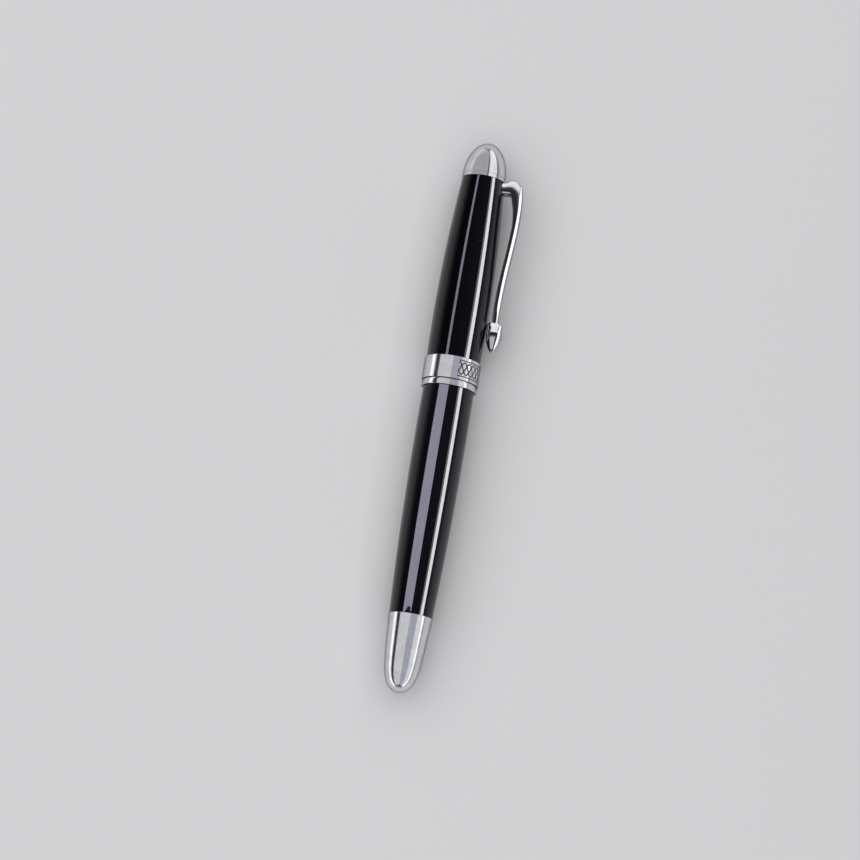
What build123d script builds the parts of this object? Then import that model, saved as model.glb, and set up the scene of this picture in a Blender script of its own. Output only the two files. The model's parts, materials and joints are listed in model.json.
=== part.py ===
from build123d import *
import math
import os

# Rollerball pen with its cap on, in millimetres.
# The pen's axis is Y and the cap's end is at +Y. The origin is on the axis, halfway along the
# cap's band. +Z is up, and the clip points to +X, raised a little above level.

# Refill: a standard size that the pen is made round
refill_length = 110.5  # back end to the front of the ball
refill_radius = 3.0
refill_tube_wall = 0.3
refill_nose_radius = 2.2  # narrow part of the plastic nose
refill_nose_taper_radius = 1.6  # front of the plastic nose
refill_nose_taper = 2.0
refill_shoulder_back = 14.6  # from the front of the ball back to the shoulder
refill_nose_body = 6.2  # full-width length of the plastic nose
refill_spigot_length = 6.0  # part of the nose inside the refill tube
plug_flange = 1.5
plug_spigot = 1.7
vent_radius = 0.4
point_length = 4.5  # metal point ahead of the plastic nose
point_radius = 1.15
point_spigot = 4.3  # part of the point inside the nose
point_taper = 1.6
point_rim_radius = 0.5
ball_radius = 0.35
ball_clearance = 0.02
ball_grip = 0.15  # how far the point's rim reaches past the ball's widest place
wick_radius = 0.8
wick_tip_radius = 0.4

# Cap
band_radius = 7.0
band_width = 5.6
band_step = 0.3  # the band stands this far above the cap tube
band_land = 0.35  # depth of the cap tube's seat for the band
band_lip = 0.5  # rim of the band that covers the end of the cap tube
band_lip_gap = 0.25  # from the bore of the cap tube out to the lip's edge
cap_tube_length = 47.1
cap_straight_bore = 26.9  # length of the bore above the band that has no taper
cap_top_radius = 5.3
cap_bulge = 0.67
cap_wall = 0.7
cap_finial_length = 9.7
finial_step = 0.1  # both finials stand this far above their tubes
finial_lip = 1.0
cap_spigot_length = 1.1
clip_ring_thickness = 1.0
inner_cap_end_wall = 2.8
inner_cap_wall = 0.65
tip_chamber_radius = 2.4
tip_chamber_length = 4.0
screw_radius = 1.3
screw_head_radius = 2.1
screw_head_height = 1.2
screw_slot_width = 0.6
screw_slot_depth = 0.5
seal_thickness = 0.7
mouth_bush_wall = 0.65
mouth_bush_length = 8.3
detent_depth = 0.2

# Clip
clip_angle = 9.0  # degrees above level
clip_width = 3.2
arm_height = 3.0
arm_clearance = 0.15
arm_start_gap = 0.2  # from the clip ring out to the arm
arm_rise = 0.85  # outside the cap, the arm's top stands this much higher
arm_lip_gap = 0.4  # between the finial's lip and the arm where it rises
arm_fillet = 0.7
clip_corner_radius = 2.4
# share of the way from the corner to the neck, height of the strap's outside above the cap's
# widest place, and thickness of the strap
clip_stations = [
    (0.0, 3.35, 2.4), (0.12, 3.82, 2.1), (0.3, 3.82, 1.45), (0.55, 3.25, 1.55), (0.85, 2.58, 1.6),
    (1.0, 2.6, 1.6),
]
bead_length = 7.5
bead_radius = 1.9
bead_neck_radius = 0.7
bead_overlap = 0.6  # how far the bead's neck runs up into the strap
bead_gap = 0.3  # between the bead and the cap tube
bead_above_band = 3.4  # from the band's top edge to the bead's end
# share of the bead's length from its end, and share of its radius
bead_shape = [(0.13, 0.8), (0.4, 1.0), (0.75, 0.66)]

# Section
collar_length = 6.3
collar_edge = 0.25
grip_waist_radius = 4.2
grip_waist_back = 14.8  # from the nose cone back to the waist
grip_flare_radius = 4.5
grip_flare_back = 2.0
nose_cone_length = 6.7
nose_base_radius = 4.2
nose_belly_radius = 3.35  # halfway along the cone
nose_spigot_radius = 3.4
nose_mouth_radius = 1.9
stop_thickness = 0.7  # inner flange that stops the refill's shoulder
point_reach = 2.6  # of the point in front of the nose cone
snap_width = 0.9
snap_depth = 0.4
snap_proud = 0.03
snap_offset = 4.4  # from the section's back face to the snap groove
snap_split = 40.0  # degrees
thread_pitch = 0.75
thread_turns = 13
thread_depth = 0.4
section_spigot_radius = 3.95
section_spigot_length = 7.9

# Barrel
parting_gap = 0.15
ring_width = 1.5
ring_step = 0.2  # the trim ring is this much smaller than the band
ring_edge = 0.2
mouth_step = 0.7  # the barrel's mouth is this much smaller than the band
barrel_back_radius = 5.3
barrel_bulge = 0.45
barrel_wall = 0.7
barrel_bush_wall = 0.8
barrel_bush_length = 12.05
barrel_finial_length = 18.8
barrel_finial_taper = 0.07
barrel_finial_end_wall = 5.4
barrel_finial_spigot = 6.6
finial_bush_wall = 0.5
finial_bush_length = 7.6
finial_bore_clearance = 0.3
spring_length = 6.5
spring_wire_radius = 0.25
spring_coils = 6
seat_thickness = 0.8
seat_lip = 0.6

# Fits
press_gap = 0.05  # glued or pressed, with room for the glue
running_gap = 0.05
slide_gap = 0.1
seal_gap = 0.1
point_gap = 0.2
refill_stop_gap = 0.02
reservoir_gap = 0.15

# Places along the axis, from the cap's mouth
cap_mouth_y = -band_width / 2
band_top_y = band_width / 2
cap_top_y = band_top_y + cap_tube_length
cap_bore_end_y = band_top_y + cap_straight_bore
mouth_bush_start_y = cap_mouth_y + band_lip
mouth_bush_end_y = mouth_bush_start_y + mouth_bush_length
clip_ring_top_y = cap_top_y - cap_spigot_length
inner_cap_top_y = clip_ring_top_y - clip_ring_thickness
chamber_end_y = inner_cap_top_y - inner_cap_end_wall
screw_head_y = chamber_end_y - screw_head_height
seal_front_y = screw_head_y - seal_gap
seal_back_y = seal_front_y - seal_thickness
point_front_y = seal_back_y - point_gap
point_back_y = point_front_y - point_length
ball_y = point_front_y - ball_radius
refill_back_y = point_front_y - refill_length
shoulder_y = point_front_y - refill_shoulder_back
refill_tube_end_y = shoulder_y - refill_nose_body
reservoir_end_y = refill_tube_end_y - refill_spigot_length - slide_gap
stop_y = shoulder_y + refill_stop_gap
nose_front_y = point_front_y - point_reach
nose_back_y = nose_front_y - nose_cone_length
ring_front_y = cap_mouth_y - parting_gap
ring_back_y = ring_front_y - ring_width
section_back_y = ring_front_y + running_gap
snap_y = section_back_y + snap_offset
screw_end_y = cap_top_y + finial_lip + screw_radius
spring_back_y = refill_back_y - spring_length
finial_bore_end_y = spring_back_y - seat_thickness
pen_back_y = finial_bore_end_y - barrel_finial_end_wall
barrel_back_y = pen_back_y + barrel_finial_length

# Radii from the outside in
cap_ring_radius = cap_top_radius - cap_wall - press_gap
cap_mouth_radius = band_radius - band_step
cap_land_radius = cap_mouth_radius - band_land
cap_bore_radius = cap_land_radius - cap_wall
band_lip_radius = cap_bore_radius + band_lip_gap
mouth_bush_radius = cap_bore_radius - press_gap
mouth_bush_bore = mouth_bush_radius - mouth_bush_wall
collar_radius = mouth_bush_bore - slide_gap
ring_radius = band_radius - ring_step
barrel_mouth_radius = band_radius - mouth_step
barrel_bore_radius = barrel_mouth_radius - barrel_wall
barrel_bush_radius = barrel_bore_radius - press_gap
barrel_bush_bore = barrel_bush_radius - barrel_bush_wall
thread_radius = barrel_bush_bore - running_gap
finial_bush_radius = barrel_back_radius - barrel_wall - press_gap
finial_bush_bore = finial_bush_radius - finial_bush_wall
barrel_spigot_radius = finial_bush_bore - press_gap
finial_bore_radius = refill_radius + finial_bore_clearance
refill_bore_radius = refill_radius + slide_gap
reservoir_radius = refill_radius - refill_tube_wall - reservoir_gap
nose_bore_radius = refill_nose_radius + slide_gap
point_bore_radius = point_radius + slide_gap


def cap_radius(y):
    # outside of the cap tube: a gentle arc from its mouth to its top
    t = (y - band_top_y) / (cap_top_y - band_top_y)
    return cap_mouth_radius + (cap_top_radius - cap_mouth_radius) * t + 4 * cap_bulge * t * (1 - t)


def barrel_radius(y):
    # outside of the barrel tube: a gentle arc from its mouth to its back end
    t = (ring_back_y - y) / (ring_back_y - barrel_back_y)
    straight = barrel_mouth_radius + (barrel_back_radius - barrel_mouth_radius) * t
    return straight + 4 * barrel_bulge * t * (1 - t)


def barrel_finial_radius(y):
    # a slow taper that turns in to a blunt round end
    u = (barrel_back_y - y) / barrel_finial_length
    taper = barrel_back_radius + finial_step - barrel_finial_taper * u * barrel_finial_length
    return taper * math.sqrt(max(0.0, 1 - u ** 7))


def arc_along(radius, start, end, inward=0.0):
    # an arc that follows a radius function from start to end, moved inward by a wall
    middle = (start + end) / 2
    points = [(radius(y) - inward, y) for y in (start, middle, end)]
    return ThreePointArc(*points)


def turned(*runs):
    # a solid of revolution about the pen's axis: each run is an edge, or a list of (radius, y)
    edges = []
    for run in runs:
        if isinstance(run, list):
            run = Polyline(*run)
        edges += run.edges()
    return revolve(make_face(edges), Axis.Y)


def ring(start, end, radius, bore=0.0):
    return turned([(bore, start), (radius, start), (radius, end), (bore, end), (bore, start)])


def to_clip(shape):
    # from the XY plane to the clip's plane, which is raised above level
    return Rot(0, -clip_angle, 0) * shape


def sub_part(shape, node):
    shape.label = node
    export_step(shape, f"parts/{node}.step")


# Cap

def cap_finial():
    # a half ellipse on a short straight lip, with a tapped spigot for the screw
    base = cap_top_radius + finial_step
    lip_end = cap_top_y + finial_lip
    height = cap_finial_length - finial_lip
    hole_end = screw_end_y + slide_gap
    turns = [math.radians(angle) for angle in (0, 18, 36, 54, 72)]
    quarter = [(base * math.cos(turn), lip_end + height * math.sin(turn)) for turn in turns]
    return turned(
        [(base, cap_top_y), (base, lip_end)],
        Spline(*quarter, (0, lip_end + height), tangents=[(0, 1), (-1, 0)]),
        [(0, cap_top_y + cap_finial_length), (0, hole_end), (screw_radius, hole_end),
         (screw_radius, clip_ring_top_y), (cap_ring_radius, clip_ring_top_y),
         (cap_ring_radius, cap_top_y), (base, cap_top_y)],
    )


def cap_finial_screw():
    shank = ring(chamber_end_y, screw_end_y, screw_radius)
    head = ring(screw_head_y, chamber_end_y, screw_head_radius)
    slot = Box(2 * screw_head_radius, 2 * screw_slot_depth, screw_slot_width)
    return shank + head - Pos(0, screw_head_y, 0) * slot


def clip_ring():
    return ring(inner_cap_top_y, clip_ring_top_y, cap_ring_radius, screw_radius)


def cap_tube():
    # the band sits on a reduced land at the mouth, and a slot in the top lets the clip's arm out
    body = turned(
        [(cap_bore_radius, mouth_bush_start_y), (cap_land_radius, mouth_bush_start_y),
         (cap_land_radius, band_top_y), (cap_mouth_radius, band_top_y)],
        arc_along(cap_radius, band_top_y, cap_top_y),
        [(cap_top_radius, cap_top_y), (cap_top_radius - cap_wall, cap_top_y)],
        arc_along(cap_radius, cap_bore_end_y, cap_top_y, cap_wall),
        [(cap_radius(cap_bore_end_y) - cap_wall, cap_bore_end_y),
         (cap_bore_radius, cap_bore_end_y), (cap_bore_radius, mouth_bush_start_y)],
    )
    slot_width = clip_width + 2 * arm_clearance
    slot_height = arm_height + 2 * arm_clearance
    slot = Box(4 * cap_wall, slot_height, slot_width)
    return body - to_clip(Pos(cap_top_radius, cap_top_y - slot_height / 2, 0) * slot)


def cap_band():
    return turned([
        (band_lip_radius, cap_mouth_y), (band_radius, cap_mouth_y), (band_radius, band_top_y),
        (cap_land_radius, band_top_y), (cap_land_radius, mouth_bush_start_y),
        (band_lip_radius, mouth_bush_start_y), (band_lip_radius, cap_mouth_y),
    ])


def mouth_bush():
    # a bush with a shallow sloped groove that the snap ring stands in
    start = mouth_bush_start_y
    end = mouth_bush_end_y
    detent = mouth_bush_bore + detent_depth
    low = snap_y - snap_width / 2 - detent_depth
    high = snap_y + snap_width / 2 + detent_depth
    return turned([
        (mouth_bush_bore, start), (mouth_bush_radius, start), (mouth_bush_radius, end),
        (mouth_bush_bore, end), (mouth_bush_bore, high + detent_depth), (detent, high),
        (detent, low), (mouth_bush_bore, low - detent_depth), (mouth_bush_bore, start),
    ])


def inner_cap():
    # a liner whose bore narrows to a small chamber round the point
    start = mouth_bush_end_y
    end = cap_bore_end_y
    bore = mouth_bush_radius - inner_cap_wall
    skin = cap_wall + press_gap
    chamber_y = chamber_end_y - tip_chamber_length
    waist = cap_radius(chamber_y) - skin - inner_cap_wall
    neck_y = cap_top_y - arm_height - 3 * arm_clearance
    return turned(
        [(bore, start), (mouth_bush_radius, start), (mouth_bush_radius, end),
         (cap_radius(end) - skin, end)],
        arc_along(cap_radius, end, neck_y, skin),
        [(cap_radius(neck_y) - skin, neck_y), (cap_ring_radius, neck_y),
         (cap_ring_radius, inner_cap_top_y), (screw_radius, inner_cap_top_y),
         (screw_radius, chamber_end_y), (tip_chamber_radius, chamber_end_y),
         (tip_chamber_radius, chamber_y), (waist, chamber_y - (waist - tip_chamber_radius)),
         (bore, end), (bore, start)],
    )


def tip_seal():
    radius = tip_chamber_radius - press_gap
    pad = ring(seal_back_y, seal_front_y, radius)
    dish = Sphere(2 * ball_radius)
    return pad - Pos(0, seal_back_y - ball_radius, 0) * dish


def clip():
    # an arm out of the cap's slot, a bowed strap that thins downward, and a bead turned on its end
    top = cap_top_y - arm_clearance
    foot = band_top_y + bead_above_band
    neck = foot + bead_length
    corner_y = top + arm_rise - clip_corner_radius
    widest = cap_mouth_radius + cap_bulge / 4
    outer = [(widest + rise, corner_y - share * (corner_y - neck)) for share, rise, _ in clip_stations]
    inner = [(widest + rise - thick, corner_y - share * (corner_y - neck))
             for share, rise, thick in clip_stations if share > 0]
    inner.insert(0, (outer[0][0] - clip_stations[0][2], top - arm_height - arm_fillet))
    arm_start = cap_ring_radius + arm_start_gap
    rise_start = (cap_top_radius + finial_step + arm_lip_gap, top)
    crown = (outer[0][0] - clip_corner_radius, top + arm_rise)
    arm_foot = (inner[0][0] - arm_fillet, top - arm_height)
    outline = [
        Line((arm_start, top), rise_start),
        Spline(rise_start, crown, tangents=[(1, 0.6), (1, 0)]),
        TangentArc(crown, outer[0], tangent=(1, 0)),
        Spline(*outer, tangents=[(0, -1), (0, -1)]),
        Line(outer[-1], inner[-1]),
        Spline(*reversed(inner), tangents=[(0, 1), (0, 1)]),
        TangentArc(inner[0], arm_foot, tangent=(0, 1)),
        Line(arm_foot, (arm_start, top - arm_height)),
        Line((arm_start, top - arm_height), (arm_start, top)),
    ]
    flat = make_face([edge for run in outline for edge in run.edges()])
    strap = extrude(flat, clip_width / 2, both=True)
    bead_x = cap_radius(foot) + bead_gap + bead_radius
    side = [(bead_radius * wide, foot + bead_length * share) for share, wide in bead_shape]
    bead_top = neck + bead_overlap
    bead = Pos(bead_x, 0, 0) * turned(
        Spline((0, foot), *side, (bead_neck_radius, bead_top), tangents=[(1, 0), (-0.2, 1)]),
        [(bead_neck_radius, bead_top), (0, bead_top), (0, foot)],
    )
    return to_clip(strap + bead)


# Section

def snap_ring():
    inner = collar_radius - snap_depth + running_gap
    hoop = ring(snap_y - snap_width / 2, snap_y + snap_width / 2, collar_radius + snap_proud, inner)
    half = math.radians(snap_split / 2)
    reach = 2 * collar_radius
    side = reach * math.tan(half)
    wedge = make_face(Polyline((0, 0), (reach, side), (reach, -side), (0, 0)).edges())
    return hoop - extrude(Plane.XZ * wedge, 2 * collar_length, both=True)


def grip_section():
    # a straight collar with the snap groove, then a waisted grip that flares to the nose cone
    groove = collar_radius - snap_depth
    low = snap_y - snap_width / 2 - running_gap
    high = snap_y + snap_width / 2 + running_gap
    collar_end = section_back_y + collar_length
    counterbore = section_spigot_radius + press_gap
    counterbore_end = section_back_y + section_spigot_length + press_gap
    nose_seat_radius = nose_spigot_radius + press_gap
    grip_start = (collar_radius - collar_edge, collar_end + collar_edge)
    grip = Spline(
        grip_start, (grip_waist_radius, nose_back_y - grip_waist_back),
        (grip_flare_radius, nose_back_y - grip_flare_back), (nose_base_radius, nose_back_y),
        tangents=[(-0.04, 1), (-0.5, 1)],
    )
    return turned(
        [(counterbore, section_back_y), (collar_radius, section_back_y), (collar_radius, low),
         (groove, low), (groove, high), (collar_radius, high), (collar_radius, collar_end),
         grip_start],
        grip,
        [(nose_base_radius, nose_back_y), (nose_seat_radius, nose_back_y),
         (nose_seat_radius, stop_y + stop_thickness), (nose_bore_radius, stop_y + stop_thickness),
         (nose_bore_radius, stop_y), (refill_bore_radius, stop_y),
         (refill_bore_radius, counterbore_end), (counterbore, counterbore_end),
         (counterbore, section_back_y)],
    )


def nose_cone():
    start = stop_y + stop_thickness
    seat_y = point_back_y + slide_gap
    seat_radius = refill_nose_taper_radius + slide_gap
    middle = (nose_back_y + nose_front_y) / 2
    return turned(
        [(nose_bore_radius, start), (nose_spigot_radius, start), (nose_spigot_radius, nose_back_y),
         (nose_base_radius, nose_back_y)],
        ThreePointArc((nose_base_radius, nose_back_y), (nose_belly_radius, middle),
                      (nose_mouth_radius, nose_front_y)),
        [(nose_mouth_radius, nose_front_y), (point_bore_radius, nose_front_y),
         (point_bore_radius, seat_y), (seat_radius, seat_y),
         (nose_bore_radius, seat_y - refill_nose_taper), (nose_bore_radius, start)],
    )


def section_thread():
    bore = refill_bore_radius + press_gap
    front = section_back_y + section_spigot_length
    root = thread_radius - thread_depth
    start = ring_back_y - thread_pitch
    ridges = []
    for turn in range(thread_turns):
        y = start - turn * thread_pitch
        ridges += [(root, y), (thread_radius, y - 0.5 * thread_pitch)]
    thread_end = start - thread_turns * thread_pitch
    back = thread_end - thread_pitch
    return turned(
        [(bore, front), (section_spigot_radius, front), (section_spigot_radius, section_back_y),
         (thread_radius, section_back_y), (thread_radius, start), *ridges,
         (root, thread_end), (root, back), (bore, back), (bore, front)],
    )


# Barrel

def trim_ring():
    bore = thread_radius + running_gap
    edge = ring_radius - ring_edge
    return turned([
        (bore, ring_back_y), (edge, ring_back_y), (ring_radius, ring_back_y + ring_edge),
        (ring_radius, ring_front_y - ring_edge), (edge, ring_front_y), (bore, ring_front_y),
        (bore, ring_back_y),
    ])


def barrel_tube():
    bush_end = ring_back_y - barrel_bush_length
    return turned(
        [(barrel_bore_radius, ring_back_y), (barrel_mouth_radius, ring_back_y)],
        arc_along(barrel_radius, ring_back_y, barrel_back_y),
        [(barrel_back_radius, barrel_back_y), (barrel_back_radius - barrel_wall, barrel_back_y)],
        arc_along(barrel_radius, bush_end, barrel_back_y, barrel_wall),
        [(barrel_radius(bush_end) - barrel_wall, bush_end), (barrel_bore_radius, bush_end),
         (barrel_bore_radius, ring_back_y)],
    )


def barrel_bush():
    return ring(ring_back_y - barrel_bush_length, ring_back_y, barrel_bush_radius, barrel_bush_bore)


def finial_bush():
    return ring(barrel_back_y, barrel_back_y + finial_bush_length, finial_bush_radius, finial_bush_bore)


def barrel_finial():
    base = barrel_back_radius + finial_step
    steps = [0, 0.25, 0.5, 0.72, 0.86, 0.94, 0.98]
    side = [(barrel_finial_radius(y), y) for y in
            [barrel_back_y - s * barrel_finial_length for s in steps]]
    outside = Spline(*side, (0, pen_back_y), tangents=[(0, -1), (-1, 0)])
    spigot_end = barrel_back_y + barrel_finial_spigot
    return turned(
        [(base, barrel_back_y)] + [(barrel_spigot_radius, barrel_back_y),
         (barrel_spigot_radius, spigot_end), (finial_bore_radius, spigot_end),
         (finial_bore_radius, finial_bore_end_y), (0, finial_bore_end_y), (0, pen_back_y)],
        outside,
    )


def spring_seat():
    radius = finial_bore_radius - press_gap
    pocket = radius - seat_lip / 2
    return turned([
        (vent_radius, finial_bore_end_y), (radius, finial_bore_end_y),
        (radius, spring_back_y + seat_lip), (pocket, spring_back_y + seat_lip),
        (pocket, spring_back_y), (vent_radius, spring_back_y), (vent_radius, finial_bore_end_y),
    ])


def refill_spring():
    radius = refill_radius - 2 * spring_wire_radius
    height = spring_length - 2 * spring_wire_radius - 2 * running_gap
    path = Helix(pitch=height / spring_coils, height=height, radius=radius)
    wire = Plane(origin=path @ 0, z_dir=path % 0) * Circle(spring_wire_radius)
    coil = sweep(wire, path, is_frenet=True)
    return Pos(0, spring_back_y + spring_wire_radius + running_gap, 0) * Rot(-90, 0, 0) * coil


# Refill

def refill_tube():
    bore = refill_radius - refill_tube_wall
    return ring(refill_back_y + plug_flange, refill_tube_end_y, refill_radius, bore)


def refill_end_plug():
    spigot = refill_radius - refill_tube_wall - press_gap
    flange_end = refill_back_y + plug_flange
    end = flange_end + plug_spigot
    return turned([
        (vent_radius, refill_back_y), (refill_radius, refill_back_y), (refill_radius, flange_end),
        (spigot, flange_end), (spigot, end), (vent_radius, end), (vent_radius, refill_back_y),
    ])


def ink_reservoir():
    start = refill_back_y + plug_flange + plug_spigot + slide_gap
    socket = wick_radius + press_gap
    rod = ring(start, reservoir_end_y, reservoir_radius)
    return rod - ring(reservoir_end_y - refill_spigot_length, reservoir_end_y, socket)


def ink_wick():
    start = reservoir_end_y - refill_spigot_length + slide_gap
    step = point_back_y - point_spigot
    tip = ball_y - 2 * ball_radius
    return ring(start, step, wick_radius) + ring(step, tip, wick_tip_radius)


def refill_nose():
    spigot = refill_radius - refill_tube_wall - press_gap
    body_back = refill_tube_end_y
    spigot_back = body_back - refill_spigot_length
    taper_back = point_back_y - refill_nose_taper
    socket = point_radius - slide_gap + press_gap
    bore = wick_radius + press_gap
    return turned([
        (bore, spigot_back), (spigot, spigot_back), (spigot, body_back), (refill_radius, body_back),
        (refill_radius, shoulder_y), (refill_nose_radius, shoulder_y),
        (refill_nose_radius, taper_back), (refill_nose_taper_radius, point_back_y),
        (socket, point_back_y), (socket, point_back_y - point_spigot),
        (bore, point_back_y - point_spigot), (bore, spigot_back),
    ])


def point_cone():
    front = ball_y + ball_grip
    bore = wick_tip_radius + press_gap / 2
    throat = ball_y - 2 * ball_radius
    body = turned([
        (bore, point_back_y - point_spigot), (point_radius - slide_gap, point_back_y - point_spigot),
        (point_radius - slide_gap, point_back_y), (point_radius, point_back_y),
        (point_radius, front - point_taper), (point_rim_radius, front), (0, front), (0, throat),
        (bore, throat), (bore, point_back_y - point_spigot),
    ])
    feed = ring(throat, ball_y, wick_tip_radius / 2)
    return body - Pos(0, ball_y, 0) * Sphere(ball_radius + ball_clearance) - feed


def ball():
    return Pos(0, ball_y, 0) * Sphere(ball_radius)


def main():
    os.makedirs("parts", exist_ok=True)
    makers = [
        cap_finial, cap_finial_screw, clip_ring, cap_tube, cap_band, mouth_bush, inner_cap, tip_seal,
        clip, snap_ring, grip_section, nose_cone, section_thread, trim_ring, barrel_tube,
        barrel_bush, finial_bush, barrel_finial, spring_seat, refill_spring, refill_tube,
        refill_end_plug, ink_reservoir, ink_wick, refill_nose, point_cone, ball,
    ]
    for maker in makers:
        sub_part(maker(), maker.__name__)
    print("pen length", round(cap_top_y + cap_finial_length - pen_back_y, 2))
    print("barrel tube length", round(ring_back_y - barrel_back_y, 2))


main()
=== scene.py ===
import json
import math

import bpy
import numpy as np
from mathutils import Matrix, Vector

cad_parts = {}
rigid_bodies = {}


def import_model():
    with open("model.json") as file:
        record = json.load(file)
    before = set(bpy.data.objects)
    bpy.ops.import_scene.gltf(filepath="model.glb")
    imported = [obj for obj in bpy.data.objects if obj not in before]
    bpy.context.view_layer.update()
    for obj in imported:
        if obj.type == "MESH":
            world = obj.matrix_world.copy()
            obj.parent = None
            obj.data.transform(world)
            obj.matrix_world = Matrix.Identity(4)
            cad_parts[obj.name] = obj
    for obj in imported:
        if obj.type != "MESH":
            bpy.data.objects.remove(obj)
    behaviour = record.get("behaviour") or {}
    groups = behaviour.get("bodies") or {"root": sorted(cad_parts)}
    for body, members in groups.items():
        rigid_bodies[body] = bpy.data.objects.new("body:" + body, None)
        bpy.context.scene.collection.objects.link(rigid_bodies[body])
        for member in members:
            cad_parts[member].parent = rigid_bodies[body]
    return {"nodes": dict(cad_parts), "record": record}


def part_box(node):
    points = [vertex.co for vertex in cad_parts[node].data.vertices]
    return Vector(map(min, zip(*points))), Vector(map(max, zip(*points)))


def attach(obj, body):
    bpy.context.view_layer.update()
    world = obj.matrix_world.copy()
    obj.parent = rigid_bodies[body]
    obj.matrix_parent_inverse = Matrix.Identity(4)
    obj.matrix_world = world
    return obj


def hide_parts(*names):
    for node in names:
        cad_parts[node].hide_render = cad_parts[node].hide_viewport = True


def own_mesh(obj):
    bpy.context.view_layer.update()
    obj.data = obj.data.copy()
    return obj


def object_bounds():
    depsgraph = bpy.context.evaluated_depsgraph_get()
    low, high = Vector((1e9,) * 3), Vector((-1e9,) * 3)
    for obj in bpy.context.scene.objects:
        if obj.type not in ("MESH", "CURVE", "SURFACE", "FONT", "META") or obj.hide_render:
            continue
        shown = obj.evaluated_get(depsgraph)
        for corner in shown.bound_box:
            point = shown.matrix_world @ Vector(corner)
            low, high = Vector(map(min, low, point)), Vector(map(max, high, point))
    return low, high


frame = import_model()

cadLow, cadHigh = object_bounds()
mm = 0.001

# The pen's axis is Y with the cap's end at +Y. Angles round the axis run from +X up to +Z.


# shapes that more than one piece uses

def meshFromGrid(name, grid, wrapRows=False, poles=()):
    # each cell of the grid becomes a quad and the columns always join up; a pole is one point
    # fanned to the first row (end 0) or the last row (end -1)
    rows, columns = grid.shape[:2]
    index = np.arange(rows * columns).reshape(rows, columns)
    here = index if wrapRows else index[:-1]
    after = np.roll(index, -1, 0) if wrapRows else index[1:]
    quads = np.stack([here, np.roll(here, -1, 1), np.roll(after, -1, 1), after], -1).reshape(-1, 4)
    points = grid.reshape(-1, 3)
    fans = []
    for end, point in poles:
        ringIndex = index[end]
        tip = np.full(columns, len(points))
        points = np.vstack([points, [point]])
        order = [np.roll(ringIndex, -1), ringIndex, tip] if end == 0 else [ringIndex, np.roll(ringIndex, -1), tip]
        fans.append(np.stack(order, -1))
    fans = np.vstack(fans) if fans else np.zeros((0, 3), int)
    triangles = np.vstack([quads[:, :3], quads[:, [0, 2, 3]], fans])
    corner = points[triangles]
    volume = np.einsum("ij,ij->i", corner[:, 0], np.cross(corner[:, 1], corner[:, 2])).sum()
    if volume < 0:
        quads, fans = quads[:, ::-1], fans[:, ::-1]
    mesh = bpy.data.meshes.new(name)
    mesh.vertices.add(len(points))
    mesh.vertices.foreach_set("co", (points * mm).astype(np.float32).ravel())
    mesh.loops.add(quads.size + fans.size)
    mesh.loops.foreach_set("vertex_index", np.concatenate([quads.ravel(), fans.ravel()]).astype(np.int32))
    mesh.polygons.add(len(quads) + len(fans))
    starts = np.concatenate([np.arange(len(quads)) * 4, quads.size + np.arange(len(fans)) * 3])
    mesh.polygons.foreach_set("loop_start", starts.astype(np.int32))
    mesh.polygons.foreach_set("use_smooth", np.ones(len(mesh.polygons), bool))
    mesh.update(calc_edges=True)
    mesh.validate()
    mesh.set_sharp_from_angle(angle=math.radians(32))
    piece = bpy.data.objects.new(name, mesh)
    bpy.context.scene.collection.objects.link(piece)
    return piece


def softenCorners(profile, size, closed, steps=4, holdShare=0.5):
    # every corner sharper than 25 degrees becomes a small curve: (1-t)^2 a + 2t(1-t) corner + t^2 b,
    # with a and b a size away along the two sides, and one holding point beyond each
    profile = np.asarray(profile, float)
    before, after = np.roll(profile, 1, 0), np.roll(profile, -1, 0)
    toBack, toFront = before - profile, after - profile
    backLength = np.maximum(np.linalg.norm(toBack, axis=1), 1e-9)
    frontLength = np.maximum(np.linalg.norm(toFront, axis=1), 1e-9)
    cosine = -(toBack * toFront).sum(1) / (backLength * frontLength)
    sharp = cosine < math.cos(math.radians(25))
    if not closed:
        sharp[[0, -1]] = False
    reach = np.minimum(size, 0.3 * np.minimum(backLength, frontLength))
    a = profile + toBack * (reach / backLength)[:, None]
    b = profile + toFront * (reach / frontLength)[:, None]
    t = np.linspace(0, 1, steps + 1)[None, :, None]
    bend = (1 - t) ** 2 * a[:, None] + 2 * t * (1 - t) * profile[:, None] + t ** 2 * b[:, None]
    backHold = a + toBack * (holdShare * reach / backLength)[:, None]
    frontHold = b + toFront * (holdShare * reach / frontLength)[:, None]
    curves = np.concatenate([backHold[:, None], bend, frontHold[:, None]], 1)
    curves[~sharp, 0] = profile[~sharp]
    kept = sharp[:, None] | (np.arange(curves.shape[1]) == 0)[None, :]
    return curves[kept]


def turnedPiece(name, profile, segments=192, soften=0.06, shape=None):
    # the (radius, y) profile turned about Y: x = radius cos(angle), z = radius sin(angle).
    # A profile that starts and ends on the axis closes in poles, any other joins up as a loop
    profile = np.asarray(profile, float)
    solid = profile[0, 0] < 1e-9 and profile[-1, 0] < 1e-9
    profile = softenCorners(profile, soften, not solid)
    poles = ()
    if solid:
        poles = ((0, (0, profile[0, 1], 0)), (-1, (0, profile[-1, 1], 0)))
        profile = profile[1:-1]
    angle = np.linspace(0, 2 * np.pi, segments, endpoint=False)
    radius, y = [np.repeat(profile[:, k][:, None], segments, 1) for k in (0, 1)]
    angle = np.repeat(angle[None, :], len(profile), 0)
    if shape:
        radius, y, angle = shape(radius, y, angle)
    grid = np.stack([radius * np.cos(angle), y, radius * np.sin(angle)], -1)
    return meshFromGrid(name, grid, wrapRows=not solid, poles=poles)


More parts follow.
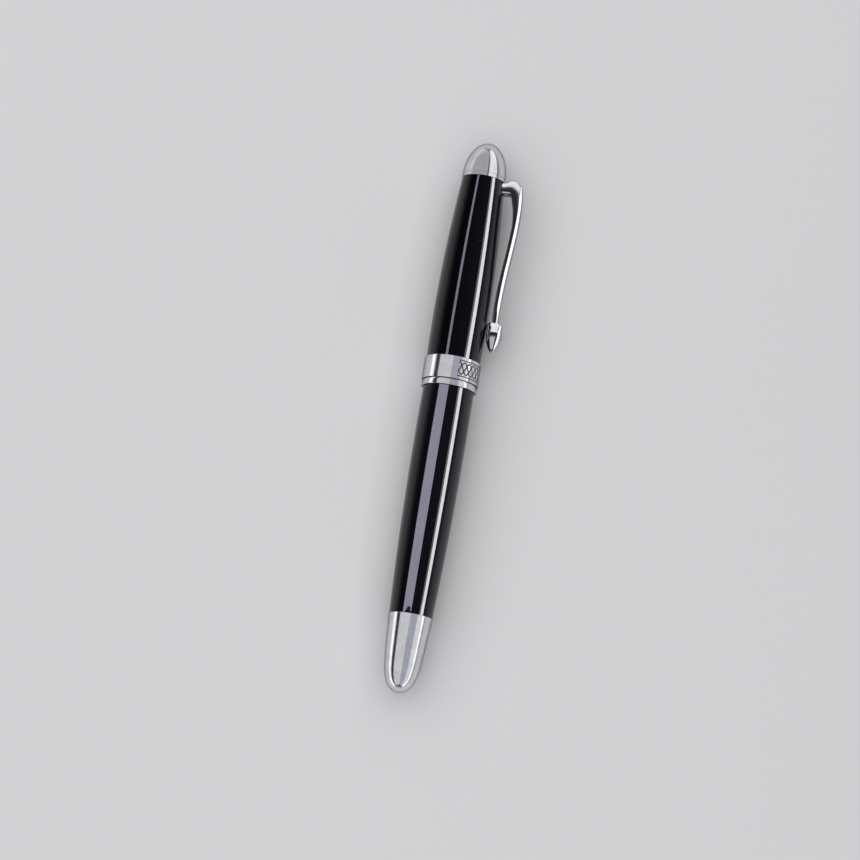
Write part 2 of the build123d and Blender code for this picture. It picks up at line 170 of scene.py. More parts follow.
def smoothThrough(points, count):
    # a curve through the points: cubic Hermite pieces on chord length, with the slopes taken
    # from each point's neighbours
    points = np.asarray(points, float)
    step = np.linalg.norm(np.diff(points[:, :2], axis=0), axis=1)
    knots = np.concatenate([[0], np.cumsum(step)])
    slopes = np.gradient(points, knots, axis=0)
    s = np.linspace(0, knots[-1], count)
    i = np.clip(np.searchsorted(knots, s, side="right") - 1, 0, len(points) - 2)
    h = (knots[i + 1] - knots[i])[:, None]
    t = ((s - knots[i]) / h[:, 0])[:, None]
    return (
        (2 * t ** 3 - 3 * t ** 2 + 1) * points[i] + (t ** 3 - 2 * t ** 2 + t) * h * slopes[i]
        + (3 * t ** 2 - 2 * t ** 3) * points[i + 1] + (t ** 3 - t ** 2) * h * slopes[i + 1]
    )


def run(radius, start, end, count):
    # points along a radius function of y
    y = np.linspace(start, end, count)
    return np.stack([radius(y), y], -1)


def joined(*parts):
    return np.vstack([np.atleast_2d(part) for part in parts])


def ease(x, low, high):
    # 0 below low, 1 above high, and a smooth step between
    t = np.clip((x - low) / (high - low), 0, 1)
    return t * t * (3 - 2 * t)


# shader groups that more than one material uses

def newGroup(name, inputs, outputs):
    group = bpy.data.node_groups.new(name, "ShaderNodeTree")
    for label, kind, value in inputs:
        socket = group.interface.new_socket(label, in_out="INPUT", socket_type="NodeSocket" + kind)
        if value is not None:
            socket.default_value = value
    for label, kind in outputs:
        group.interface.new_socket(label, in_out="OUTPUT", socket_type="NodeSocket" + kind)
    ends = group.nodes.new("NodeGroupInput"), group.nodes.new("NodeGroupOutput")
    return group, ends[0].outputs, ends[1].inputs


def addNode(tree, kind, links=(), **settings):
    # a node with its properties set, and its inputs filled by a value or by another node's output
    node = tree.nodes.new("ShaderNode" + kind)
    for key, value in settings.items():
        setattr(node, key, value)
    for key, source in dict(links).items():
        if isinstance(source, bpy.types.NodeSocket):
            tree.links.new(source, node.inputs[key])
        else:
            node.inputs[key].default_value = source
    return node


def mathNode(tree, operation, first, second=0.0, clamp=False):
    return addNode(tree, "Math", {0: first, 1: second}, operation=operation, use_clamp=clamp).outputs[0]


def noise(tree, vector, scale, detail=3.0, rough=0.55, distortion=0.0):
    inputs = {"Vector": vector, "Scale": scale, "Detail": detail, "Roughness": rough, "Distortion": distortion}
    return addNode(tree, "TexNoise", inputs).outputs[0]


def remap(tree, value, low, high, toLow=0.0, toHigh=1.0):
    inputs = {0: value, 1: low, 2: high, 3: toLow, 4: toHigh}
    return addNode(tree, "MapRange", inputs, clamp=True).outputs[0]


def roundGroup():
    # where a point is on a turned surface: angle about Y in turns, distance along Y, distance from Y
    group, given, result = newGroup("roundPlace", [("Vector", "Vector", None)], [("Place", "Vector")])
    parts = addNode(group, "SeparateXYZ", {0: given["Vector"]}).outputs
    angle = mathNode(group, "ARCTAN2", parts["Z"], parts["X"])
    flat = addNode(group, "CombineXYZ", {0: parts["X"], 2: parts["Z"]}).outputs[0]
    away = addNode(group, "VectorMath", {0: flat}, operation="LENGTH").outputs["Value"]
    spot = addNode(group, "CombineXYZ", {0: mathNode(group, "MULTIPLY", angle, 0.005), 1: parts["Y"], 2: away})
    group.links.new(spot.outputs[0], result["Place"])
    return group


def hairGroup():
    # fine scratches: noise drawn out along one direction and cut to its crests, twice at two angles
    group, given, result = newGroup(
        "hairScratches",
        [("Vector", "Vector", None), ("Scale", "Float", 1500.0), ("Turn", "Float", 0.4), ("Amount", "Float", 0.5)],
        [("Mask", "Float")],
    )
    masks = []
    for turn, stretch in ((1.0, 0.03), (-2.3, 0.045)):
        angle = mathNode(group, "MULTIPLY", given["Turn"], turn)
        turned = addNode(group, "VectorRotate", {"Vector": given["Vector"], "Angle": angle}, rotation_type="Z_AXIS")
        drawn = addNode(group, "VectorMath", {0: turned.outputs[0], 1: (stretch, 1.0, 1.0)}, operation="MULTIPLY")
        crest = noise(group, drawn.outputs[0], given["Scale"], 2.0, 0.5, 0.3)
        masks.append(remap(group, crest, 0.64, 0.74))
    both = mathNode(group, "MAXIMUM", masks[0], masks[1])
    patches = remap(group, noise(group, given["Vector"], 160.0, 2.0), 0.42, 0.62)
    group.links.new(
        mathNode(group, "MULTIPLY", mathNode(group, "MULTIPLY", both, patches), given["Amount"]), result["Mask"])
    return group


def handlingGroup():
    # what a pen picks up in use: finger smudges, fine dust, and hairline scratches
    group, given, result = newGroup(
        "handling",
        [("Vector", "Vector", None), ("Roughness", "Float", 0.1), ("Smudge", "Float", 0.06),
         ("Scratch", "Float", 0.1), ("Dust", "Float", 0.2)],
        [("Roughness", "Float"), ("Height", "Float"), ("Dust", "Float"), ("Smudge", "Float")],
    )
    smear = remap(group, noise(group, given["Vector"], 210.0, 4.0, 0.6, 0.8), 0.45, 0.72)
    prints = addNode(group, "TexWave", {"Vector": given["Vector"], "Scale": 900.0, "Distortion": 6.0, "Detail": 1.0},
                     wave_type="RINGS", rings_direction="SPHERICAL").outputs["Fac"]
    ridges = mathNode(group, "MULTIPLY_ADD", prints, 0.35)
    ridges.node.inputs[2].default_value = 0.65
    smudge = mathNode(group, "MULTIPLY", smear, ridges)
    hair = addNode(group, "Group", node_tree=groups["hair"])
    group.links.new(given["Vector"], hair.inputs["Vector"])
    hair.inputs["Amount"].default_value = 1.0
    specks = addNode(group, "TexVoronoi", {"Vector": given["Vector"], "Scale": 620.0, "Randomness": 1.0})
    dot = remap(group, specks.outputs["Distance"], 0.075, 0.03)
    rare = remap(group, noise(group, given["Vector"], 420.0, 1.0), 0.55, 0.6)
    dust = mathNode(group, "MULTIPLY", mathNode(group, "MULTIPLY", dot, rare), given["Dust"])
    rough = mathNode(group, "ADD", given["Roughness"], mathNode(group, "MULTIPLY", smudge, given["Smudge"]))
    rough = mathNode(group, "ADD", rough, mathNode(group, "MULTIPLY", hair.outputs[0], given["Scratch"]))
    rough = mathNode(group, "ADD", rough, mathNode(group, "MULTIPLY", dust, 0.4), clamp=True)
    height = mathNode(group, "SUBTRACT", dust, mathNode(group, "MULTIPLY", hair.outputs[0], 0.6))
    for label, value in (("Roughness", rough), ("Height", height), ("Dust", dust), ("Smudge", smudge)):
        group.links.new(value, result[label])
    return group


def turningGroup():
    # rings left by turning and buffing: noise that is long round the piece and short along it
    group, given, result = newGroup(
        "turning", [("Vector", "Vector", None), ("Scale", "Float", 3000.0)], [("Rings", "Float")])
    spot = addNode(group, "Group", node_tree=groups["round"])
    group.links.new(given["Vector"], spot.inputs[0])
    drawn = addNode(group, "VectorMath", {0: spot.outputs[0], 1: (0.02, 1.0, 1.0)}, operation="MULTIPLY")
    group.links.new(noise(group, drawn.outputs[0], given["Scale"], 3.0, 0.6), result["Rings"])
    return group


groups = {"round": roundGroup(), "hair": hairGroup()}
groups["handling"] = handlingGroup()
groups["turning"] = turningGroup()
print("shader groups", len(groups))


# materials, one for each finish slot

def startMaterial(name, shader):
    material = bpy.data.materials.new(name)
    material.use_nodes = True
    tree = material.node_tree
    principled = next(node for node in tree.nodes if node.type == "BSDF_PRINCIPLED")
    for key, value in shader.items():
        principled.inputs[key].default_value = value
    spot = addNode(tree, "TexCoord").outputs["Object"]
    return material, tree, principled, spot


def useGroup(tree, name, vector, **values):
    node = addNode(tree, "Group", node_tree=groups[name])
    tree.links.new(vector, node.inputs["Vector"])
    for key, value in values.items():
        node.inputs[key].default_value = value
    return node.outputs


def bumpInto(tree, principled, height, distance, coat=False):
    bump = addNode(tree, "Bump", {"Height": height, "Distance": distance, "Strength": 1.0})
    tree.links.new(bump.outputs[0], principled.inputs["Normal"])
    if coat:
        tree.links.new(bump.outputs[0], principled.inputs["Coat Normal"])


def mixColour(tree, mask, first, second):
    node = addNode(tree, "Mix", {"Factor": mask}, data_type="RGBA")
    node.inputs[6].default_value = (*first, 1)
    node.inputs[7].default_value = (*second, 1)
    return node.outputs[2]


rimShadeTint = (0.34, 0.36, 0.40, 1)  # painted shade on the metal's rims: reflections seen along the surface are made this much darker
# the dark colour and roughness given to the engraved lines, more where the cut is deeper
cutLineDark = dict(colour=(0.035, 0.035, 0.04, 1), roughness=(0.5, 0.5, 0.5, 1))
lacquer = dict(
    colour=(0.0035, 0.0035, 0.005), dust=(0.16, 0.16, 0.17), roughness=0.28, coatRoughness=0.02,
    coatIor=1.45, peelScale=900.0, peelHeight=0.0000012,
)


def lacquerMaterial():
    # black under a thick clear coat, with a trace of orange peel, smudges and dust
    material, tree, principled, spot = startMaterial("blackLacquer", {
        "Specular IOR Level": 0.0, "Coat Roughness": lacquer["coatRoughness"], "Coat IOR": lacquer["coatIor"],
    })
    marks = useGroup(tree, "handling", spot, Roughness=lacquer["roughness"], Smudge=0.25, Scratch=0.2, Dust=0.5)
    tree.links.new(mixColour(tree, marks["Dust"], lacquer["colour"], lacquer["dust"]), principled.inputs["Base Color"])
    tree.links.new(marks["Roughness"], principled.inputs["Roughness"])
    coat = mathNode(tree, "SUBTRACT", 1.0, mathNode(tree, "MULTIPLY", marks["Smudge"], 0.12))
    tree.links.new(coat, principled.inputs["Coat Weight"])
    peel = noise(tree, spot, lacquer["peelScale"], 2.0, 0.4)
    height = mathNode(tree, "ADD", peel, mathNode(tree, "MULTIPLY", marks["Height"], 0.8))
    bumpInto(tree, principled, height, lacquer["peelHeight"], coat=True)
    return material


def metalMaterial(name, colour, roughness, smudge=0.05, scratch=0.12, ringScale=3000.0, ringHeight=0.0000006,
                  ringRough=0.04, tint=None):
    # bright metal: turning rings, buffing haze and handling marks all move the roughness
    # the specular tint paints shade on the rims of every metal piece
    material, tree, principled, spot = startMaterial(name, {"Metallic": 1.0, "Specular Tint": rimShadeTint})
    marks = useGroup(tree, "handling", spot, Roughness=roughness, Smudge=smudge, Scratch=scratch, Dust=0.15)
    rings = useGroup(tree, "turning", spot, Scale=ringScale)["Rings"]
    haze = noise(tree, spot, 320.0, 3.0, 0.6)
    dark = tint or tuple(0.86 * channel for channel in colour)
    tree.links.new(mixColour(tree, remap(tree, haze, 0.35, 0.7), colour, dark), principled.inputs["Base Color"])
    rough = mathNode(tree, "ADD", marks["Roughness"], mathNode(tree, "MULTIPLY", rings, ringRough))
    tree.links.new(mathNode(tree, "SUBTRACT", rough, 0.5 * ringRough, clamp=True), principled.inputs["Roughness"])
    height = mathNode(tree, "ADD", rings, mathNode(tree, "MULTIPLY", marks["Height"], 0.5))
    bumpInto(tree, principled, height, ringHeight)
    return material


def engravedMaterial():
    # the bright plate again, with the engraved lines coloured dark and made rough
    material = metalMaterial("engravedPlate", plate["colour"], plate["roughness"])
    tree = material.node_tree
    principled = next(node for node in tree.nodes if node.type == "BSDF_PRINCIPLED")
    cut = addNode(tree, "Attribute", attribute_name="engraved").outputs["Fac"]
    for socket, value in (("Base Color", cutLineDark["colour"]), ("Roughness", cutLineDark["roughness"])):
        before = principled.inputs[socket].links[0].from_socket
        mixed = addNode(tree, "Mix", data_type="RGBA")
        tree.links.new(cut, mixed.inputs["Factor"])
        tree.links.new(before, mixed.inputs[6])
        mixed.inputs[7].default_value = value
        tree.links.new(mixed.outputs[2], principled.inputs[socket])
    return material


def plasticMaterial(name, colour, roughness, grainScale=2600.0, grainHeight=0.000004, lighter=1.5, coat=0.0):
    # moulded plastic: a fine grain, a slow change of tone, and handling marks
    material, tree, principled, spot = startMaterial(name, {"Coat Weight": coat, "Coat Roughness": 0.06})
    marks = useGroup(tree, "handling", spot, Roughness=roughness, Smudge=0.12, Scratch=0.15, Dust=0.3)
    tone = remap(tree, noise(tree, spot, 180.0, 3.0), 0.35, 0.7)
    pale = tuple(min(1.0, lighter * channel + 0.004) for channel in colour)
    tree.links.new(mixColour(tree, tone, colour, pale), principled.inputs["Base Color"])
    tree.links.new(marks["Roughness"], principled.inputs["Roughness"])
    grain = noise(tree, spot, grainScale, 3.0, 0.6)
    bumpInto(tree, principled, mathNode(tree, "ADD", grain, marks["Height"]), grainHeight)
    return material


def fibreMaterial():
    # bundled fibres soaked with ink: long streaks along the rod
    material, tree, principled, spot = startMaterial("inkFibre", {"Sheen Weight": 0.3, "Sheen Roughness": 0.5})
    drawn = addNode(tree, "VectorMath", {0: spot, 1: (1.0, 0.04, 1.0)}, operation="MULTIPLY").outputs[0]
    streak = noise(tree, drawn, 5200.0, 3.0, 0.6)
    tree.links.new(mixColour(tree, streak, (0.006, 0.006, 0.02), (0.05, 0.05, 0.09)), principled.inputs["Base Color"])
    tree.links.new(remap(tree, streak, 0.3, 0.7, 0.55, 0.9), principled.inputs["Roughness"])
    bumpInto(tree, principled, streak, 0.00003)
    return material


plate = dict(colour=(0.80, 0.805, 0.82), roughness=0.13)  # the bright plated metal
materials = {
    "engraved_plate": engravedMaterial(),
    "black_lacquer": lacquerMaterial(),
    "bright_plate": metalMaterial("brightPlate", plate["colour"], plate["roughness"]),
    "grip_plastic": plasticMaterial("gripPlastic", (0.006, 0.006, 0.007), 0.22, coat=0.6),
    "thread_brass": metalMaterial("threadBrass", (0.80, 0.58, 0.26), 0.2, ringScale=5000.0, ringHeight=0.000002,
                                  ringRough=0.12, tint=(0.60, 0.40, 0.16)),
    "spring_steel": metalMaterial("springSteel", (0.52, 0.52, 0.53), 0.24, ringRough=0.1),
    "screw_steel": metalMaterial("screwSteel", (0.44, 0.44, 0.45), 0.3, ringRough=0.12),
    "liner_plastic": plasticMaterial("linerPlastic", (0.03, 0.03, 0.033), 0.48),
    "seal_rubber": plasticMaterial("sealRubber", (0.045, 0.045, 0.045), 0.72, grainHeight=0.00001),
    "refill_steel": metalMaterial("refillSteel", (0.60, 0.60, 0.61), 0.26, ringRough=0.1),
    "plug_plastic": plasticMaterial("plugPlastic", (0.02, 0.035, 0.1), 0.42),
    "ink_fibre": fibreMaterial(),
    "wick_plastic": plasticMaterial("wickPlastic", (0.02, 0.02, 0.028), 0.6),
    "nose_plastic": plasticMaterial("nosePlastic", (0.014, 0.014, 0.015), 0.38),
    "point_metal": metalMaterial("pointMetal", (0.58, 0.55, 0.49), 0.2, ringScale=6000.0, ringRough=0.1),
    "ball_carbide": metalMaterial("ballCarbide", (0.36, 0.36, 0.38), 0.12, ringRough=0.02),
}
nodeSlots = {entry["node"]: entry["material_slot"] for entry in frame["record"]["subparts"]}
for node, piece in frame["nodes"].items():
    piece.data.materials.clear()
    piece.data.materials.append(materials[nodeSlots[node]])
print("materials", len(materials))


def place(piece, node, material=None):
    # the new piece stands for a CAD node: same body, same finish slot
    body = next(name for name, members in frame["record"]["behaviour"]["bodies"].items() if node in members)
    slotName = nodeSlots[node]
    piece.data.materials.append(material or materials[slotName])
    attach(piece, body)
    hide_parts(node)
    print(piece.name, "for", node, len(piece.data.polygons), "faces")
    return piece


def ends(node):
    # where the CAD node starts and ends along the axis, in millimetres
    low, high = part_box(node)
    return low.y / mm, high.y / mm


# the cap, and the clip on it

clipPlane = dict(angle=9.0)  # degrees above level
capTube = dict(mouthRadius=6.7, topRadius=5.3, bulge=0.67, wall=0.7, bore=5.65, land=6.35, slotWidth=3.5,
               slotHeight=3.3, slotCorner=0.02, squeeze=6.0, straightBore=26.9)
bandLow, bandHigh = ends("cap_band")
capTop = ends("cap_tube")[1]


def capRadius(y):
    # straight taper plus a bulge: 4 bulge t (1 - t)
    t = (y - bandHigh) / (capTop - bandHigh)
    return (capTube["mouthRadius"] + (capTube["topRadius"] - capTube["mouthRadius"]) * t
            + 4 * capTube["bulge"] * t * (1 - t))


def makeCapTube():
    # a closed wall; the columns near the clip stop lower, which leaves the slot for its arm
    size = capTube
    low = ends("cap_tube")[0]
    boreEnd = bandHigh + size["straightBore"]
    profile = joined(
        (size["bore"], low), (size["land"], low), (size["land"], bandHigh),
        run(capRadius, bandHigh, capTop, 64), run(lambda y: capRadius(y) - size["wall"], capTop, boreEnd, 20),
        (size["bore"], boreEnd),
    )
    clipAngle = math.radians(clipPlane["angle"])
    segments = 256
    nominal = math.asin(size["slotWidth"] / 2 / size["topRadius"])

    def cutSlot(radius, y, angle):
        # columns inside the slot are squeezed below its floor, and every row's columns are spread
        # so that the slot's two sides stay parallel
        turn = (angle + np.pi) % (2 * np.pi) - np.pi
        edge = 2 * np.pi / segments
        nearest = np.round(nominal / edge) * edge
        half = np.arcsin(np.clip(size["slotWidth"] / 2 / radius, -1, 1))
        inside = np.abs(turn) < nearest - 0.5 * edge
        rim = np.abs(np.abs(turn) - nearest) < 0.5 * edge
        away = np.abs(turn)
        spread = np.where(away <= nearest, away / nearest * half,
                          half + (away - nearest) / (np.pi - nearest) * (np.pi - half))
        innerRim = np.abs(away - (nearest - edge)) < 0.5 * edge
        spread = np.where(innerRim, half - size["slotCorner"] / radius, spread)
        floor = capTop - size["slotHeight"]
        squeezeFrom = floor - size["squeeze"]
        lowered = squeezeFrom + (y - squeezeFrom) * (floor - squeezeFrom) / (capTop - squeezeFrom)
        moved = inside & ~rim & (y > squeezeFrom)
        newY = np.where(moved, lowered, y)
        radius = np.where(moved, radius + capRadius(newY) - capRadius(y), radius)
        return radius, newY, np.sign(turn) * spread + clipAngle

    return place(turnedPiece("capTube", profile, segments, 0.07, cutSlot), "cap_tube")


capFinial = dict(radius=5.4, lip=1.0, height=8.7, spigot=4.55, hole=1.3, holeDepth=3.5,
                 groove=0.14, grooveWidth=0.16, grooveEdge=0.02)


def makeCapFinial():
    # radius = R cos(turn), y = H sin(turn): half an ellipse over a lip that a fine groove sets off
    size = capFinial
    low, high = ends("cap_finial")
    turn = np.linspace(np.pi / 2, 0.02, 60)
    lipTop = capTop + size["lip"]
    dome = np.stack([size["radius"] * np.cos(turn), lipTop + size["height"] * np.sin(turn)], -1)
    dome[0, 0] = 0
    holeEnd = low + size["holeDepth"]
    profile = joined(
        dome, (size["radius"] - size["grooveEdge"], lipTop),
        (size["radius"] - size["groove"], lipTop - size["grooveEdge"]),
        (size["radius"] - size["groove"], lipTop - size["grooveWidth"]),
        (size["radius"], lipTop - size["grooveWidth"] - size["grooveEdge"]), (size["radius"], capTop),
        (size["spigot"], capTop), (size["spigot"], low), (size["hole"], low), (size["hole"], holeEnd), (0, holeEnd),
    )
    return place(turnedPiece("capFinial", profile, 192, 0.05), "cap_finial")


capBand = dict(radius=7.0, bore=6.35, lipRadius=5.9, lip=0.5, motifFrom=8.0, motifTo=78.0, motifMargin=0.06,
               motifFade=0.04, depth=0.055, lineWidth=0.3, waves=4, waveHeight=1.45, border=1.95, plainEdge=0.4)


def makeCapBand():
    # a plain hoop, with a band of crossing waves engraved on the clip's side between two lines
    size = capBand
    outer = np.stack([np.full(72, size["radius"]), np.linspace(bandLow, bandHigh, 72)], -1)
    profile = joined((size["lipRadius"], bandLow), outer, (size["bore"], bandHigh),
                     (size["bore"], bandLow + size["lip"]), (size["lipRadius"], bandLow + size["lip"]))
    start, end = math.radians(size["motifFrom"]), math.radians(size["motifTo"])

    def engrave(radius, y, angle):
        # two thirds of the columns go to the engraved stretch
        share = angle / (2 * np.pi)
        margin = size["motifMargin"]
        dense = end - start + 2 * margin
        angle = start - margin + np.where(share < 2 / 3, share * 1.5 * dense,
                                          dense + (share - 2 / 3) * 3 * (2 * np.pi - dense))
        phase = (angle - start) / (end - start)
        middle = (bandLow + bandHigh) / 2
        fade = ease(phase, 0, size["motifFade"]) * ease(1 - phase, 0, size["motifFade"])
        slope = size["waveHeight"] * np.pi * size["waves"] / ((end - start) * size["radius"])
        line = np.zeros_like(radius)
        for third in range(3):
            swing = np.pi * size["waves"] * phase + third * 2 * np.pi / 3
            wave = size["waveHeight"] * np.sin(swing)
            near = np.abs(y - middle - wave) / np.sqrt(1 + (slope * np.cos(swing)) ** 2)
            line = np.maximum(line, 1 - ease(near, 0.25 * size["lineWidth"], 0.75 * size["lineWidth"]))
        for side in (-1, 1):
            near = np.abs(y - middle - side * size["border"])
            line = np.maximum(line, 1 - ease(near, 0.2 * size["lineWidth"], 0.6 * size["lineWidth"]))
        onFace = radius > size["radius"] - 0.001
        return radius - np.where(onFace, size["depth"] * line * fade, 0), y, angle

    piece = turnedPiece("capBand", profile, 900, 0.1, engrave)
    # how deep each point is cut, from 0 to 1, for the dark colour in the lines
    spots = np.empty(3 * len(piece.data.vertices), np.float32)
    piece.data.vertices.foreach_get("co", spots)
    spots = spots.reshape(-1, 3) / mm
    cut = (size["radius"] - np.hypot(spots[:, 0], spots[:, 2])) / size["depth"]
    onFace = cut < 1.5
    inside = (spots[:, 1] > bandLow + size["plainEdge"]) & (spots[:, 1] < bandHigh - size["plainEdge"]) & onFace
    engraved = piece.data.attributes.new("engraved", "FLOAT", "POINT")
    engraved.data.foreach_set("value", np.where(inside, np.clip(cut, 0, 1), 0).astype(np.float32))
    return place(piece, "cap_band", materials["engraved_plate"])


clipShape = dict(width=3.2, neckWidth=2.3, crown=0.34, beadTop=13.9, beadEnd=6.2, neckCentre=8.74, neckHalf=0.76,
                 beadCentre=8.98, beadHalf=1.9, beadWidth=2.0)


def makeClip():
    # sections carried from the arm to the bead: each spans from the inside curve to the outside
    # curve, x = sign(cos) |cos|^(2/p), z = sign(sin) |sin|^(2/p), and p falls from a box to a rounded bead
    size = clipShape
    top = ends("clip")[1]
    # side view from the arm to the neck, as (distance from the axis, y)
    outside = smoothThrough([
        (4.76, top - 0.85), (5.4, top - 0.85), (5.95, top - 0.68), (6.7, top - 0.24), (7.6, top - 0.01),
        (8.55, top - 0.15), (9.4, top - 0.68), (9.98, top - 1.55), (10.24, top - 2.6), (10.55, top - 4.8),
        (10.72, top - 7.5), (10.72, top - 11.0), (10.55, top - 14.9), (10.24, top - 19.5), (9.86, top - 24.3),
        (9.55, top - 29.4), (9.44, top - 33.6), (9.5, size["beadTop"]),
    ], 150)
    inside = smoothThrough([
        (4.76, top - 3.85), (5.4, top - 3.85), (5.9, top - 3.85), (6.5, top - 3.85), (6.95, top - 3.86),
        (7.25, top - 3.9), (7.62, top - 4.15), (7.85, top - 4.6), (7.98, top - 5.2), (8.35, top - 6.5),
        (8.78, top - 8.5), (9.1, top - 11.5), (8.98, top - 15.2), (8.68, top - 19.5), (8.3, top - 24.3),
        (7.96, top - 29.4), (7.88, top - 33.6), (7.98, size["beadTop"]),
    ], 150)
    beadRows = np.linspace(0, 1, 60)[1:-1]
    beadY = size["beadTop"] + (size["beadEnd"] - size["beadTop"]) * beadRows
    swell = np.sin(np.pi * beadRows ** 0.78) ** 0.62
    radial = np.minimum(size["neckHalf"] * (1 - ease(beadRows, 0, 0.5)) + size["beadHalf"] * swell, size["beadHalf"])
    radial = radial * np.sqrt(np.clip(1 - ease(beadRows, 0.86, 1.12) ** 2, 0, 1))
    centre = size["neckCentre"] + (size["beadCentre"] - size["neckCentre"]) * ease(beadRows, 0, 0.4)
    beadOut = np.stack([centre + radial, beadY], -1)
    beadIn = np.stack([centre - radial, beadY], -1)
    outer, inner = joined(outside, beadOut), joined(inside, beadIn)
    count = len(outer)
    strapRows = len(outside)
    along = np.arange(count) / (strapRows - 1)
    middle, half = (outer + inner) / 2, (outer - inner) / 2
    width = np.interp(along, [0, 0.25, 0.62, 0.93, 1.0], [size["width"] / 2] * 3 + [size["neckWidth"] / 2] * 2)
    grow = np.concatenate([np.zeros(strapRows), ease(beadRows, 0, 0.4)])
    beadWide = size["beadWidth"] * np.concatenate([np.ones(strapRows), radial / size["beadHalf"]])
    width = width * (1 - grow) + beadWide * grow
    width[strapRows:] = np.minimum(width[strapRows:], beadWide[strapRows:] + 0.4 * (1 - grow[strapRows:]))
    power = np.interp(along, [0, 0.8, 1.0, 1.08, 2], [5.5, 4.5, 3.0, 2.6, 2.6])
    crown = size["crown"] * np.interp(along, [0, 0.1, 0.2, 0.9, 1.0, 2], [0.3, 0.6, 1, 1, 0, 0])
    turn = np.linspace(0, 2 * np.pi, 72, endpoint=False)[None, :]
    cosine, sine = np.cos(turn), np.sin(turn)
    x = np.sign(cosine) * np.abs(cosine) ** (2 / power[:, None])
    z = np.sign(sine) * np.abs(sine) ** (2 / power[:, None])
    z = z * (1 - crown[:, None] * ease(x, -0.15, 1.0))
    flat = middle[:, None, :] + x[..., None] * half[:, None, :]
    side = z * width[:, None]
    angle = math.radians(clipPlane["angle"])
    grid = np.stack([
        flat[..., 0] * math.cos(angle) - side * math.sin(angle), flat[..., 1],
        flat[..., 0] * math.sin(angle) + side * math.cos(angle),
    ], -1)
    tip = (centre[-1] * math.cos(angle), size["beadEnd"], centre[-1] * math.sin(angle))
    root = grid[0].mean(0)
    return place(meshFromGrid("pocketClip", grid, poles=((0, root), (-1, tip))), "clip")


mouthBush = dict(radius=5.6, bore=4.95, detent=5.15)
innerCap = dict(radius=5.6, bore=4.95, wall=0.65, skin=0.75, neckRadius=4.55, neckDrop=3.45, chamber=2.4,
                chamberFrom=41.0, chamberTo=45.0, hole=1.3)


def makeMouthBush():
    # a plain bush with a sloped groove for the snap ring, turned about the axis
    size = mouthBush
    low, high = ends("mouth_bush")
    snapLow, snapHigh = ends("snap_ring")
    slope = size["detent"] - size["bore"]
    profile = joined(
        (size["bore"], low), (size["radius"], low), (size["radius"], high), (size["bore"], high),
        (size["bore"], snapHigh + 2 * slope), (size["detent"], snapHigh + slope), (size["detent"], snapLow - slope),
        (size["bore"], snapLow - 2 * slope),
    )
    return place(turnedPiece("mouthBush", profile, 128, 0.05), "mouth_bush")


def makeInnerCap():
    # outside: the cap's radius less a skin; inside: a bore that cones down to the chamber
    size = innerCap
    low, high = ends("inner_cap")
    boreEnd = bandHigh + capTube["straightBore"]
    neck = capTop - size["neckDrop"]
    waist = capRadius(size["chamberFrom"]) - size["skin"] - size["wall"]
    profile = joined(
        (size["bore"], low), (size["radius"], low), (size["radius"], boreEnd),
        run(lambda y: capRadius(y) - size["skin"], boreEnd, neck, 20), (size["neckRadius"], neck),
        (size["neckRadius"], high), (size["hole"], high), (size["hole"], size["chamberTo"]),
        (size["chamber"], size["chamberTo"]), (size["chamber"], size["chamberFrom"]),
        (waist, size["chamberFrom"] - (waist - size["chamber"])), (size["bore"], boreEnd),
    )
    return place(turnedPiece("innerCap", profile, 128, 0.08), "inner_cap")


makeCapTube()
makeCapFinial()
makeCapBand()
makeClip()
makeMouthBush()
makeInnerCap()
print("cap done")


# the section: grip, nose cone, snap ring and threaded sleeve

section = dict(collar=4.85, groove=4.45, collarLength=6.3, edge=0.25, waist=4.2, waistBack=14.8, flare=4.5,
               flareBack=2.0, base=4.2, counterbore=4.0, spigot=7.95, bore=3.1, noseBore=2.3, noseSeat=3.45,
               snapGap=0.05, stopThickness=0.7)
noseCone = dict(base=4.2, belly=3.35, mouth=1.9, bore=2.3, pointBore=1.25, seat=1.7, spigot=3.4, taper=2.0,
                pointShank=4.3, seatGap=0.1, grooveFrom=0.35, grooves=3, grooveStep=0.42, grooveDepth=0.09)
snapRing = dict(outer=4.88, inner=4.5, split=40.0)
sectionThread = dict(major=4.7, depth=0.4, pitch=0.75, bore=3.15, spigot=3.95)


def makeGrip():
    # a straight collar with the snap ring's groove, then a smooth curve through the waist and the flare
    size = section
    low, high = ends("grip_section")
    snapLow, snapHigh = (value + shift for value, shift in zip(ends("snap_ring"), (-size["snapGap"], size["snapGap"])))
    collarEnd = low + size["collarLength"]
    grip = smoothThrough([
        (size["collar"] - size["edge"], collarEnd + size["edge"]), (4.45, collarEnd + 4.2),
        (size["waist"], high - size["waistBack"]), (4.27, high - 8.5), (size["flare"], high - size["flareBack"]),
        (4.42, high - 0.7), (size["base"], high),
    ], 60)
    stop = ends("nose_cone")[0]
    profile = joined(
        (size["counterbore"], low), (size["collar"], low), (size["collar"], snapLow), (size["groove"], snapLow),
        (size["groove"], snapHigh), (size["collar"], snapHigh), (size["collar"], collarEnd), grip,
        (size["noseSeat"], high), (size["noseSeat"], stop), (size["noseBore"], stop),
        (size["noseBore"], stop - size["stopThickness"]), (size["bore"], stop - size["stopThickness"]),
        (size["bore"], low + size["spigot"]), (size["counterbore"], low + size["spigot"]),
    )
    return place(turnedPiece("gripSection", profile, 160, 0.05), "grip_section")


